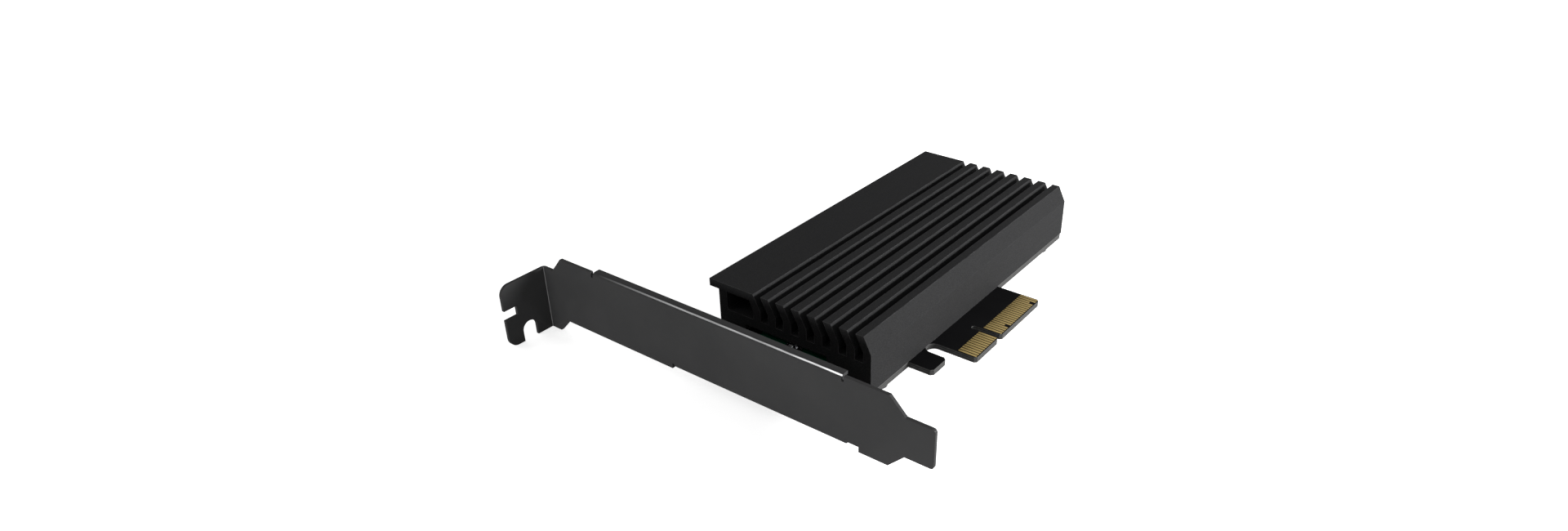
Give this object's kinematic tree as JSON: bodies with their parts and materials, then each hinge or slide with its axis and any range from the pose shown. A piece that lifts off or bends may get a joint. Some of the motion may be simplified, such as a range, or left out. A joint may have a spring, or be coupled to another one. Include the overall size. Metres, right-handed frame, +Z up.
{
  "type": "nvme adapter card",
  "caption": "Expansion card that carries a flash drive under a finned black heatsink, with a folded steel slot bracket and a gold edge connector.",
  "frame": {"origin": "on the bracket's outer face, level with the board's component side and with the tips of the edge contacts", "axes": "+X away from the bracket along the board, +Y from the edge contacts towards the bracket's bent tab, +Z up from the component side"},
  "size_m": [0.1318, 0.12, 0.0225],
  "materials": {
    "bracket_coat": "fine matte black coat on folded steel sheet",
    "screw_steel": "plated steel",
    "black_screw": "blackened steel",
    "black_board": "black solder mask on glass-fibre laminate",
    "green_board": "green solder mask on glass-fibre laminate",
    "gold_plating": "gold plating",
    "bare_copper": "gold-plated bare copper, satin",
    "socket_plastic": "moulded black plastic",
    "spring_metal": "tinned spring metal",
    "solder_tin": "tin with a soldered edge",
    "brown_ceramic": "fired brown ceramic",
    "small_part_ceramic": "dark fired ceramic",
    "standoff_brass": "turned brass",
    "chip_resin": "moulded black resin",
    "pad_silicone": "soft grey silicone",
    "black_anodised": "black anodised extrusion"
  },
  "bodies": {
    "root": {"bracket": "bracket_coat", "bracket_screws": "screw_steel", "circuit_board": "black_board", "slot_rings": "gold_plating", "bracket_hole_rings": "gold_plating", "edge_contacts_top": "gold_plating", "edge_contacts_bottom": "gold_plating", "cooling_strip": "bare_copper", "socket_housing": "socket_plastic", "socket_front_contacts": "spring_metal", "socket_rear_contacts": "spring_metal", "socket_hold_downs": "spring_metal", "capacitor_bodies": "brown_ceramic", "capacitor_ends": "solder_tin", "drive_standoff": "standoff_brass", "drive_screw": "screw_steel", "drive_board": "green_board", "drive_contacts": "gold_plating", "drive_memory_chips": "chip_resin", "drive_controller_chip": "chip_resin", "drive_power_chip": "chip_resin", "drive_power_leads": "solder_tin", "drive_power_switch": "chip_resin", "drive_small_parts": "small_part_ceramic", "drive_small_ends": "solder_tin", "lower_thermal_pad": "pad_silicone", "upper_thermal_pad": "pad_silicone", "heatsink": "black_anodised", "heatsink_screws": "black_screw"}
  },
  "joints": []
}
